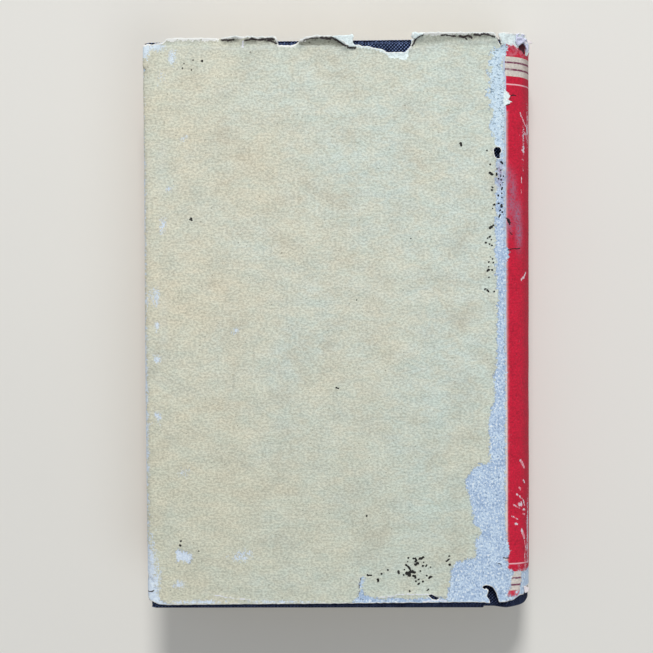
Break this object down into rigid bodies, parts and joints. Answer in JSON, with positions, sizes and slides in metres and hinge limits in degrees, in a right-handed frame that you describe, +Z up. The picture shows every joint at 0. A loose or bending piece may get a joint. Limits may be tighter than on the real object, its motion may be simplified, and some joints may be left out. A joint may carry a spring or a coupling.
{
  "type": "hardback book",
  "caption": "Small case-bound book with rounded spine, cloth-covered boards that open at both joints, and a torn, rubbed paper dust jacket.",
  "frame": {"origin": "under the middle of the whole closed book, in the plane it rests on", "axes": "+Z up, out of the back cover; +Y towards the head; +X towards the spine. The book lies on its front cover"},
  "size_m": [0.129, 0.1916, 0.027],
  "materials": {
    "page_paper": "aged uncoated book paper",
    "endpaper": "aged uncoated paper",
    "gauze": "glued open gauze",
    "lining_paper": "brown kraft paper",
    "band_thread": "plain woven band",
    "card": "thin brown card",
    "board": "grey-brown strawboard",
    "book_cloth": "navy book cloth, visible weave",
    "jacket_buff": "worn matt paper, pale grey-buff, rubbed at the joint",
    "jacket_red": "worn matt paper printed red with cream bands"
  },
  "bodies": {
    "text_block": {"pages": "page_paper", "back_free_endpaper": "endpaper", "front_free_endpaper": "endpaper", "mull": "gauze", "spine_lining": "lining_paper", "head_band": "band_thread", "tail_band": "band_thread", "spine_inlay": "card", "spine_cloth": "book_cloth", "jacket_spine": "jacket_red"},
    "back_cover": {"back_board": "board", "back_cover_cloth": "book_cloth", "back_pastedown": "endpaper", "jacket_back_panel": "jacket_buff"},
    "front_cover": {"front_board": "board", "front_cover_cloth": "book_cloth", "front_pastedown": "endpaper", "jacket_front_panel": "jacket_red"}
  },
  "joints": [
    {"name": "back_cover_hinge", "type": "hinge", "parent": "text_block", "child": "back_cover", "pos_m": [0.05555, 0, 0.027], "axis": [0, 1, 0], "range_deg": [0, 180]},
    {"name": "front_cover_hinge", "type": "hinge", "parent": "text_block", "child": "front_cover", "pos_m": [0.05555, 0, 0], "axis": [0, -1, 0], "range_deg": [0, 180]}
  ]
}
